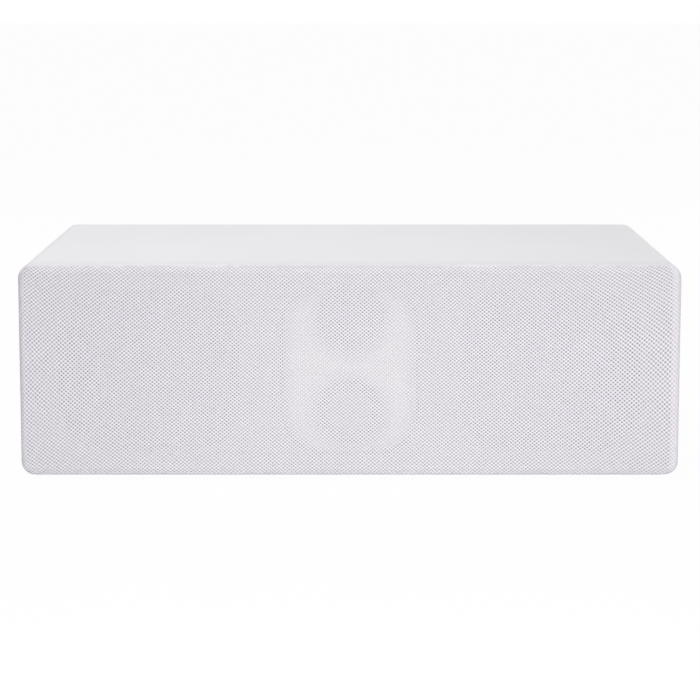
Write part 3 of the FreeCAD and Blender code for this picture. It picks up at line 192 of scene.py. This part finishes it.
finishes = {
    "white_lacquer": painted("white_lacquer", (0.84, 0.835, 0.842), 0.6, 0.00002, Specular_IOR_Level=0.3),
    "white_board": painted("white_board", (0.78, 0.78, 0.79), 0.5, 0.00004, 0.02),
    "dark_board": painted("dark_board", (0.022, 0.022, 0.024), 0.7, 0.00006, 0.2),
    "plain_board": fibrous("plain_board", (0.42, 0.3, 0.19), 0.85, 700.0, 0.0001),
    "wadding": fibrous("wadding", (0.75, 0.76, 0.74), 0.95, 300.0, 0.002, Sheen_Weight=0.5),
    "rubber": moulded("rubber", (0.018, 0.018, 0.019), 0.75, 0.00004),
    "frame_plastic": moulded("frame_plastic", (0.24, 0.24, 0.25), 0.55, 0.00003),
    "black_plastic": moulded("black_plastic", (0.02, 0.02, 0.022), 0.45, 0.00003),
    "basket": painted("basket", (0.018, 0.018, 0.019), 0.6, 0.00004, 0.15),
    "surround": moulded("surround", (0.012, 0.012, 0.013), 0.6, 0.00002),
    "cone": fibrous("cone", (0.022, 0.022, 0.023), 0.7, 900.0, 0.00015, 0.3),
    "grey_cone": fibrous("grey_cone", (0.36, 0.36, 0.365), 0.7, 900.0, 0.00015, 0.2),
    "spider": fibrous("spider", (0.5, 0.36, 0.15), 0.85, 1200.0, 0.0002),
    "coil": drawn_metal("coil", (0.65, 0.3, 0.14), 0.35, (0.05, 8.0, 0.05)),
    "steel": drawn_metal("steel", (0.5, 0.5, 0.52), 0.35, (4.0, 0.2, 4.0)),
    "magnet": moulded("magnet", (0.05, 0.05, 0.055), 0.6, 0.00006),
    "dome_cloth": fibrous("dome_cloth", (0.02, 0.02, 0.021), 0.55, 1500.0, 0.00005, 0.25),
    "screws": drawn_metal("screws", (0.03, 0.03, 0.032), 0.4, (1.0, 1.0, 1.0), 0.6),
    "service_plate": drawn_metal("service_plate", (0.58, 0.58, 0.6), 0.38, (0.04, 1.0, 2.5)),
    "circuit_board": moulded("circuit_board", (0.02, 0.13, 0.05), 0.45, 0.00002),
    "heatsink": drawn_metal("heatsink", (0.32, 0.32, 0.33), 0.4, (1.0, 1.0, 0.05)),
    "shield_can": drawn_metal("shield_can", (0.6, 0.6, 0.6), 0.3, (1.0, 1.0, 1.0)),
    "lens": moulded("lens", (0.75, 0.78, 0.82), 0.2, 0.00001, Coat_Weight=0.5),
}


def calculated(material, operation, *inputs):
    """A sum over other nodes' values and plain numbers."""
    tree = material.node_tree
    node = tree.nodes.new("ShaderNodeMath")
    node.operation = operation
    for socket, value in zip(node.inputs, inputs):
        if isinstance(value, (int, float)):
            socket.default_value = value
        else:
            tree.links.new(output_of(value), socket)
    return node


def let_through(material, colour, share):
    """Lets a share of the light through a thin cloth."""
    tree = material.node_tree
    thin = tree.nodes.new("ShaderNodeBsdfTranslucent")
    thin.inputs["Color"].default_value = (*colour, 1.0)
    mix = tree.nodes.new("ShaderNodeMixShader")
    mix.inputs["Fac"].default_value = share
    tree.links.new(tree.nodes["Principled BSDF"].outputs["BSDF"], mix.inputs[1])
    tree.links.new(thin.outputs["BSDF"], mix.inputs[2])
    tree.links.new(mix.outputs["Shader"], tree.nodes["Material Output"].inputs["Surface"])


def crossings(material):
    """The weave on its lattice: 1 where yarns cross and 0 in a hole, levelling out where it closes."""
    tree = material.node_tree
    lattice = tree.nodes.new("ShaderNodeAttribute")
    lattice.attribute_name = "lattice"
    split = tree.nodes.new("ShaderNodeSeparateXYZ")
    tree.links.new(lattice.outputs["Vector"], split.inputs["Vector"])
    waves = []
    for axis in ("X", "Y"):
        turn = calculated(material, "MULTIPLY", 0.0, math.pi)
        tree.links.new(split.outputs[axis], turn.inputs[0])
        waves.append(calculated(material, "COSINE", turn))
    both = calculated(material, "MULTIPLY", *waves)
    depth = calculated(material, "MULTIPLY", 0.0, -0.5)
    tree.links.new(split.outputs["Z"], depth.inputs[0])
    even = calculated(material, "MULTIPLY_ADD", depth, 2.0 * CLOSED_TONE - 1.0, CLOSED_TONE)
    return calculated(material, "MULTIPLY_ADD", both, depth, even)


def placed(material, operation, first, second):
    """A vector operation on another node, and on a plain vector where it takes two."""
    tree = material.node_tree
    node = tree.nodes.new("ShaderNodeVectorMath")
    node.operation = operation
    tree.links.new(first.outputs["Object" if "Object" in first.outputs else "Vector"], node.inputs[0])
    if second is not None:
        node.inputs[1].default_value = second
    return node


def face_distance(material):
    """Distance of the plate's front, in its own plane, from its outline and from its two mouths."""
    tree = material.node_tree
    low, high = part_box("driver_plate")
    middle, half = (low + high) / 2, (high - low) / 2
    place = placed(material, "MULTIPLY", tree.nodes.new("ShaderNodeTexCoord"), (1.0, 0.0, 1.0))
    off_middle = placed(material, "SUBTRACT", place, (middle.x, 0.0, middle.z))
    one_quarter = placed(material, "ABSOLUTE", off_middle, None)
    inner = (half.x - PLATE_CORNER, 0.0, half.z - PLATE_CORNER)
    past_inner = placed(material, "SUBTRACT", one_quarter, inner)
    in_corner = placed(material, "MAXIMUM", past_inner, (0.0, 0.0, 0.0))
    to_corner = placed(material, "LENGTH", in_corner, None)
    nearest = calculated(material, "SUBTRACT", PLATE_CORNER, to_corner)
    for driver in ("tweeter_dome", "midrange_cone"):
        low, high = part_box(driver)
        axis = (low + high) / 2
        off_axis = placed(material, "SUBTRACT", place, (axis.x, 0.0, axis.z))
        from_axis = placed(material, "LENGTH", off_axis, None)
        from_mouth = calculated(material, "SUBTRACT", from_axis, MOUTH_RADIUS)
        nearest = calculated(material, "MINIMUM", nearest, from_mouth)
    return nearest


# The plate behind the middle of the cloth: white, with painted shade that darkens it towards its rim and
# into its mouths.
PLATE_CORNER, MOUTH_RADIUS, PLATE_SHADING = 0.033, 0.0265, 0.0095
PLATE_WHITE, PLATE_PAINTED_SHADE = (0.95, 0.935, 0.88), 0.25
plate = moulded("white_plastic", PLATE_WHITE, 0.5, 0.00002)
painted_rim_shade = shade(PLATE_WHITE, PLATE_PAINTED_SHADE)
# Painted shade: the plate's colour falls from white to a quarter of it near its outline and its mouths.
tint(plate, face_distance(plate), painted_rim_shade, PLATE_WHITE, 0.0, PLATE_SHADING)
finishes["white_plastic"] = plate

# The cloth's yarn: white with a cool cast, palest where it crosses, with painted shade that darkens it
# towards the holes.
YARN, YARN_BACKLIT = (0.98, 0.948, 1.0), (0.93, 0.95, 0.86)
YARN_PAINTED_SHADE, CLOSED_TONE, UNEVENNESS = 0.56, 0.9, 0.25
YARN_RELIEF, LIGHT_SHARE = 0.00015, 0.14
yarn = shader("grille_cloth", YARN, 0.85, Sheen_Weight=0.15, Sheen_Roughness=0.5)
fuzz = texture(yarn, "Noise", 700.0, Detail=2.0)
uneven = calculated(yarn, "MULTIPLY_ADD", fuzz, 2.0 * UNEVENNESS, -UNEVENNESS)
weave = calculated(yarn, "ADD", crossings(yarn), uneven)
# Painted shade: the yarn darkens towards each hole, to a little over half its colour.
tint(yarn, weave, shade(YARN, YARN_PAINTED_SHADE), YARN, 0.1, 0.9)
relief(yarn, weave, YARN_RELIEF)
let_through(yarn, YARN_BACKLIT, LIGHT_SHARE)
finishes["grille_cloth"] = yarn

# The lower circle shows paler than the rest through the cloth, so the midrange has a grey cone.
paler = {"midrange_cone": "grey_cone", "midrange_dust_cap": "grey_cone"}
for name, node in nodes.items():
    node.data.materials.clear()
    node.data.materials.append(finishes[paler.get(name, slot_of[name])])


def piece(name, points, faces, slot, replaced):
    """A new mesh that takes a slot's finish and may stand for a CAD node."""
    mesh = bpy.data.meshes.new(name)
    mesh.from_pydata(points, [], faces)
    mesh.update()
    mesh.polygons.foreach_set("use_smooth", [True] * len(mesh.polygons))
    mesh.materials.append(finishes[slot])
    made = bpy.data.objects.new(name, mesh)
    bpy.context.scene.collection.objects.link(made)
    if replaced:
        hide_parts(replaced)
    return made


# Cloth: an open diamond weave, pulled over the cover's front and round its edge.
PITCH_X, PITCH_Z = 0.00329, 0.002765
COLUMNS, ROWS = 184, 84
KNOT_JITTER = 0.00006
# A hole's width as a share of its cell's, how much that varies, and how far its rim sinks.
OPEN_SHARE, OPEN_SPREAD, DIP = 0.255, 0.05, 0.0004
# How much of the weave, with its painted hole shade, still shows where the cloth closes at the sides and
# below.
FAINT = 0.55
# How far past the flat front the weave stays open: left, right, below and above.
OPEN_PAST = (0.003, 0.0, 0.005, 0.0065)
# The corners that the cloth was drawn towards when it was fixed, from its middle, and by how much.
PULLS = (
    ((-0.31, 0.075), (-0.005, 0.018)),
    ((-0.31, -0.075), (-0.005, -0.018)),
    ((0.31, 0.075), (0.012, 0.028)),
    ((0.31, -0.075), (0.012, -0.018)),
)
PULL_REACH, PULL_STEPS = 0.100, 8
EDGE_RADIUS = 0.006
CORNER_RADIUS = 0.011
SKIRT = 0.008
cloth_low, cloth_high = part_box("grille_cloth")
cloth_middle = (cloth_low + cloth_high) / 2
flat_half = np.array([cloth_high.x - cloth_low.x, cloth_high.z - cloth_low.z]) / 2 - EDGE_RADIUS
BEND = EDGE_RADIUS * math.pi / 2
CUT_EDGE = BEND + SKIRT


def stretched(rest):
    """How the stretch cloth lies: drawn towards the points where it was pulled."""
    place = rest
    for _ in range(PULL_STEPS):
        moved = np.zeros_like(rest)
        for centre, pull in PULLS:
            distance = np.linalg.norm(place - np.array(centre), axis=-1)
            moved += np.exp(-((distance / PULL_REACH) ** 2))[..., None] * np.array(pull)
        place = rest + moved
    return place


def past_flat(points):
    """Distance and direction of flat cloth points from the cover's flat front."""
    corner = CORNER_RADIUS - EDGE_RADIUS
    outside = np.maximum(np.abs(points) - (flat_half - corner), 0.0)
    length = np.linalg.norm(outside, axis=-1)
    direction = np.sign(points) * outside / np.maximum(length, 1e-9)[..., None]
    return np.maximum(length - corner, 0.0), direction


def wrapped(points, sunk):
    """Flat cloth points bent round the cover's edge, a little below its surface where sunk."""
    past, direction = past_flat(points)
    foot = points - direction * past[..., None]
    past = np.minimum(past, CUT_EDGE)
    turn = np.minimum(past / EDGE_RADIUS, math.pi / 2)
    radius = EDGE_RADIUS - sunk
    place = foot + direction * (radius * np.sin(turn))[..., None]
    depth = EDGE_RADIUS - radius * np.cos(turn) + np.maximum(past - BEND, 0.0)
    x = cloth_middle.x + place[..., 0]
    z = cloth_middle.z + place[..., 1]
    return np.stack([x, cloth_low.y + depth, z], -1)


column_range, row_range = np.arange(-COLUMNS, COLUMNS + 1), np.arange(-ROWS, ROWS + 1)
columns, rows = np.meshgrid(column_range, row_range, indexing="ij")
lattice = stretched(np.stack([columns * PITCH_X / 2, rows * PITCH_Z / 2], -1))
chance = np.random.default_rng(5)
lattice += chance.normal(0.0, KNOT_JITTER, lattice.shape)
past_edge = past_flat(lattice)[0]
middles = np.argwhere((columns + rows) % 2 == 0)
inside = (middles > 0).all(1) & (middles < np.array(columns.shape) - 1).all(1)
middles = middles[inside]
around = np.array([(-1, 0), (0, -1), (1, 0), (0, 1)])
knots = middles[:, None, :] + around[None]
knot_past = past_edge[knots[..., 0], knots[..., 1]]
kept = knot_past.min(1) < CUT_EDGE - 1e-6
middles, knots, knot_past = middles[kept], knots[kept], knot_past[kept]
numbers = np.full(columns.shape, -1)
used = np.unique(knots.reshape(-1, 2), axis=0)
numbers[used[:, 0], used[:, 1]] = np.arange(len(used))
knot_numbers = numbers[knots[..., 0], knots[..., 1]]
knot_points = wrapped(lattice[used[:, 0], used[:, 1]], 0.0)
knot_places = lattice[knots[..., 0], knots[..., 1]]
left, right, below, above = OPEN_PAST
most, least = knot_places.max(1), knot_places.min(1)
is_open = (least > -flat_half - np.array([left, below])).all(1)
is_open &= (most < flat_half + np.array([right, above])).all(1)
is_open &= knot_past.max(1) < BEND
centres = lattice[middles[:, 0], middles[:, 1]][:, None, :]
shares = OPEN_SHARE + chance.uniform(-OPEN_SPREAD, OPEN_SPREAD, (len(middles), 1, 1))
hole_corners = centres + shares * (knot_places - centres)
hole_points = wrapped(hole_corners[is_open], DIP).reshape(-1, 3)
hole_numbers = len(used) + np.arange(len(hole_points)).reshape(-1, 4)
rings = [knot_numbers[~is_open]]
for i in range(4):
    j = (i + 1) % 4
    outer_i, outer_j = knot_numbers[is_open][:, i], knot_numbers[is_open][:, j]
    rings.append(np.stack([outer_i, outer_j, hole_numbers[:, j], hole_numbers[:, i]], -1))
cloth_points = np.concatenate([knot_points, hole_points])
cloth_faces = np.concatenate(rings)
cloth = piece("cloth_weave", cloth_points.tolist(), cloth_faces.tolist(), "grille_cloth", "grille_cloth")
cell_corners = middles[:, None, :] + shares * around[None]
on_lattice = np.concatenate([used, cell_corners[is_open].reshape(-1, 2)])
openness = np.ones(len(on_lattice))
# Over the top the closed cloth shows none of the weave's painted shade or relief; at the sides and below it
# keeps a faint share of them.
over_top = lattice[used[:, 0], used[:, 1]][:, 1] > flat_half[1]
openness[: len(used)] = np.where(over_top, 0.0, FAINT)
openness[knot_numbers[is_open].ravel()] = 1.0
on_lattice = np.column_stack([on_lattice, openness]).astype(np.float32)
lattice_places = cloth.data.attributes.new("lattice", "FLOAT_VECTOR", "POINT")
lattice_places.data.foreach_set("vector", on_lattice.ravel())
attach(cloth, "cover")


# Surrounds and spiders, which on the real speaker bend between the frame and the moving cone; here they are
# made in place.
def turned(profile, centre_x, centre_z, front_y, segments=96):
    """Points and faces of a closed profile of (radius, height) turned about a driver's axis."""
    radii, heights = np.array(profile).T
    angles = np.linspace(0.0, 2.0 * math.pi, segments, endpoint=False)
    x = centre_x + np.outer(np.cos(angles), radii)
    z = centre_z + np.outer(np.sin(angles), radii)
    y = np.broadcast_to(front_y - heights, x.shape)
    count = len(radii)
    around_ring = np.arange(segments)[:, None] * count
    next_ring = (np.arange(segments)[:, None] + 1) % segments * count
    here = np.arange(count)
    after = (here + 1) % count
    sides = [around_ring + here, around_ring + after, next_ring + after, next_ring + here]
    faces = np.stack(sides, -1).reshape(-1, 4)
    return np.stack([x, y, z], -1).reshape(-1, 3), faces


def half_roll(lip, roll, land, overlap, thickness):
    """A rubber half-roll with its glued lands, as one closed profile."""
    angles = np.linspace(math.pi, 0.0, 25)
    middle = lip + roll
    outer = [(middle + roll * math.cos(a), roll * math.sin(a)) for a in angles]
    thin = roll - thickness
    inner = [(middle + thin * math.cos(a), thin * math.sin(a)) for a in reversed(angles)]
    upper = [(lip - overlap, 0.0), *outer, (land, 0.0)]
    lower = [(land, -thickness), (middle + thin, -thickness), *inner, (middle - thin, -thickness)]
    return upper + lower + [(lip - overlap, -thickness)]


def corrugated(inner, flat, outer, base, wave, thickness):
    """The centring disc's waves, as one closed profile."""
    steps = 60
    lower = []
    for i in range(steps + 1):
        share = i / steps
        lift = wave * (0.5 - 0.5 * math.cos(2.0 * math.pi * 5 * share))
        lower.append((inner + (flat - inner) * share, base + lift))
    lower.append((outer, base))
    return lower + [(radius, height + thickness) for radius, height in reversed(lower)]


def bending(name, profile, driver, body, moving, fixed, slot, replaced):
    """A turned piece whose inner edge lies at the cone and outer edge at the frame."""
    low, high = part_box(f"{driver}_cone")
    x, z = (low.x + high.x) / 2, (low.z + high.z) / 2
    profile = [(radius / 1000, height / 1000) for radius, height in profile]
    points, faces = turned(profile, x, z, BAFFLE_Y)
    made = piece(name, points.tolist(), faces.tolist(), slot, replaced)
    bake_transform(made)
    return made


BAFFLE_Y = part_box("front_baffle")[0].y
for driver in ("woofer_left", "woofer_right", "midrange"):
    diaphragm = f"{driver}_diaphragm"
    if driver == "midrange":
        roll = half_roll(lip=20.0, roll=2.5, land=27.8, overlap=2.0, thickness=0.5)
        disc = corrugated(inner=8.2, flat=14.2, outer=18.2, base=-13.4, wave=0.7, thickness=0.5)
        roll_ends, disc_ends = (20.0, 25.0), (8.5, 14.2)
    else:
        roll = half_roll(lip=41.0, roll=4.0, land=53.3, overlap=3.0, thickness=0.8)
        disc = corrugated(inner=12.9, flat=30.3, outer=37.3, base=-25.5, wave=1.2, thickness=0.8)
        roll_ends, disc_ends = (41.0, 49.0), (13.4, 30.3)
    bending(f"{driver}_roll", roll, driver, diaphragm, *roll_ends, "surround", f"{driver}_surround")
    bending(f"{driver}_disc", disc, driver, diaphragm, *disc_ends, "spider", f"{driver}_spider")

# Waveguide rings that lead from the small drivers to the plate's mouths: radius and height, in millimetres.
RING = ((25.9, 0.3), (29.8, 0.3), (29.8, 8.6), (29.4, 8.8), (28.2, 6.8), (27.2, 4.4), (26.4, 2.0))
for name, driver in (("upper", "tweeter_dome"), ("lower", "midrange_cone")):
    low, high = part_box(driver)
    section = [(radius / 1000, height / 1000) for radius, height in RING]
    points, faces = turned(section, (low.x + high.x) / 2, (low.z + high.z) / 2, BAFFLE_Y)
    # The rings take the plate's finish, so they carry its painted shade, dark inside the mouths.
    ring = piece(f"waveguide_{name}", points.tolist(), faces.tolist(), "white_plastic", None)
    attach(ring, "cabinet")

# Wadding: loose lumpy pads against the cabinet's end walls, a little smaller than their solids.
PAD_THICKNESS, PAD_SPREAD = 0.84, 0.97
PAD_CROWN, PAD_LUMPS = 0.10, 0.05
for side in ("left", "right"):
    low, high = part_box(f"wadding_{side}")
    size, middle = high - low, (high + low) / 2
    bpy.ops.mesh.primitive_cube_add(size=1.0, location=(0, 0, 0))
    block = bpy.context.object
    block.name = f"wadding_{side}_pad"
    cut = block.modifiers.new("cut", "SUBSURF")
    cut.subdivision_type = "SIMPLE"
    cut.levels = 5
    bpy.ops.object.modifier_apply(modifier=cut.name)
    points = np.array([vertex.co for vertex in block.data.vertices])
    crown = np.prod(1.0 - PAD_CROWN * (2 * points[:, 1:]) ** 4, axis=1)
    lumps = np.sin(19.0 * points[:, 1] + 1.3) * np.sin(13.0 * points[:, 2] + 0.4)
    lumps += 0.6 * np.sin(31.0 * points[:, 2] + 7.0 * points[:, 1])
    points[:, 0] *= PAD_THICKNESS * crown * (1.0 + PAD_LUMPS * lumps)
    points[:, 1:] *= PAD_SPREAD
    points = points * np.array(size) + np.array(middle)
    block.data.vertices.foreach_set("co", points.astype(np.float32).ravel())
    block.data.update()
    block.data.polygons.foreach_set("use_smooth", [True] * len(block.data.polygons))
    block.data.materials.append(finishes["wadding"])
    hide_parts(f"wadding_{side}")
    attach(block, "cabinet")


# Floor, backdrop and light
def seen_directly(tree):
    """1 for rays from the camera and for mirrored or refracted ones, 0 for those that light things."""
    path = tree.nodes.new("ShaderNodeLightPath")
    first = tree.nodes.new("ShaderNodeMath")
    first.operation = "MAXIMUM"
    tree.links.new(path.outputs["Is Camera Ray"], first.inputs[0])
    tree.links.new(path.outputs["Is Glossy Ray"], first.inputs[1])
    both = tree.nodes.new("ShaderNodeMath")
    both.operation = "MAXIMUM"
    tree.links.new(first.outputs[0], both.inputs[0])
    tree.links.new(path.outputs["Is Transmission Ray"], both.inputs[1])
    return both.outputs[0]


SKY_LEFT, SKY_RIGHT = (0.36, 0.365, 0.45), (1.0, 0.985, 0.97)
SKY_STRENGTH = 0.43
# The share of the floor that the camera sees as plain white. The rest takes the shadow.
FLOOR_WHITE = 0.97
world = bpy.data.worlds.new("studio")
bpy.context.scene.world = world
world.use_nodes = True
tree = world.node_tree
sky = tree.nodes["Background"]
around_room = tree.nodes.new("ShaderNodeTexCoord")
across = tree.nodes.new("ShaderNodeSeparateXYZ")
tree.links.new(around_room.outputs["Generated"], across.inputs["Vector"])
across_room = tree.nodes.new("ShaderNodeMapRange")
across_room.inputs["From Min"].default_value = -1.0
tree.links.new(across.outputs["X"], across_room.inputs["Value"])
fade = tree.nodes.new("ShaderNodeValToRGB")
fade.color_ramp.elements[0].color = (*SKY_LEFT, 1.0)
fade.color_ramp.elements[1].color = (*SKY_RIGHT, 1.0)
tree.links.new(across_room.outputs["Result"], fade.inputs["Fac"])
tree.links.new(fade.outputs["Color"], sky.inputs["Color"])
sky.inputs["Strength"].default_value = SKY_STRENGTH
backdrop = tree.nodes.new("ShaderNodeBackground")
backdrop.inputs["Color"].default_value = (1.0, 1.0, 1.0, 1.0)
backdrop.inputs["Strength"].default_value = 1.0
mix = tree.nodes.new("ShaderNodeMixShader")
tree.links.new(seen_directly(tree), mix.inputs["Fac"])
tree.links.new(sky.outputs["Background"], mix.inputs[1])
tree.links.new(backdrop.outputs["Background"], mix.inputs[2])
tree.links.new(mix.outputs["Shader"], tree.nodes["World Output"].inputs["Surface"])

bpy.ops.mesh.primitive_plane_add(size=40.0, location=(0, 0, 0))
floor = bpy.context.object
floor.name = "floor"
floor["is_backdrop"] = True
floor_paint = bpy.data.materials.new("floor")
floor_paint.use_nodes = True
tree = floor_paint.node_tree
tree.nodes.remove(tree.nodes["Principled BSDF"])
matt = tree.nodes.new("ShaderNodeBsdfDiffuse")
matt.inputs["Color"].default_value = (0.85, 0.85, 0.86, 1.0)
glow = tree.nodes.new("ShaderNodeEmission")
glow.inputs["Strength"].default_value = 1.0
share = tree.nodes.new("ShaderNodeMath")
share.operation = "MULTIPLY"
share.inputs[1].default_value = FLOOR_WHITE
tree.links.new(seen_directly(tree), share.inputs[0])
mix = tree.nodes.new("ShaderNodeMixShader")
tree.links.new(share.outputs[0], mix.inputs["Fac"])
tree.links.new(matt.outputs["BSDF"], mix.inputs[1])
tree.links.new(glow.outputs["Emission"], mix.inputs[2])
tree.links.new(mix.outputs["Shader"], tree.nodes["Material Output"].inputs["Surface"])
floor.data.materials.append(floor_paint)


def softbox(name, place, target, width, height, power, mirrored=True):
    """A rectangular lamp that faces a point, and shows in gloss where mirrored."""
    lamp = bpy.data.lights.new(name, "AREA")
    lamp.shape = "RECTANGLE"
    lamp.size = width
    lamp.size_y = height
    lamp.energy = power
    made = bpy.data.objects.new(name, lamp)
    made.location = place
    aim = Vector(target) - Vector(place)
    made.rotation_euler = aim.to_track_quat("-Z", "Y").to_euler()
    made.visible_camera = False
    made.visible_glossy = mirrored
    bpy.context.scene.collection.objects.link(made)


softbox("front_low", (0.0, -0.72, 0.03), (0.0, -0.14, 0.05), 0.7, 0.08, 1.75)
softbox("overhead", (-0.2, -0.15, 1.35), (-0.05, -0.05, 0.1), 0.6, 0.6, 7.5)
softbox("right_front", (0.75, -2.1, 0.7), (0.0, -0.14, 0.08), 0.9, 0.7, 14.6, mirrored=False)
softbox("rear_left", (-1.5, 1.5, 0.7), (0.0, 0.1, 0.08), 1.0, 0.8, 10.0, mirrored=False)
softbox("rear_right", (1.5, 1.5, 0.7), (0.0, 0.1, 0.08), 1.0, 0.8, 10.0, mirrored=False)

# Camera at the photograph's viewpoint, looking down by a few degrees
LOOKS_DOWN = 6.952
lens = bpy.data.cameras.new("camera")
lens.sensor_width = 36.0
lens.lens = 106.42
lens.shift_y = -0.16
camera = bpy.data.objects.new("camera", lens)
camera.location = (0.0002, -1.7404, 0.3877)
camera.rotation_euler = (math.radians(90.0 - LOOKS_DOWN), 0.0, 0.0)
bpy.context.scene.collection.objects.link(camera)
bpy.context.scene.camera = camera
bpy.context.scene.view_settings.view_transform = "Standard"

size = {"cad": [list(corner) for corner in cad_box], "visual": [list(corner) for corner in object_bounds()]}
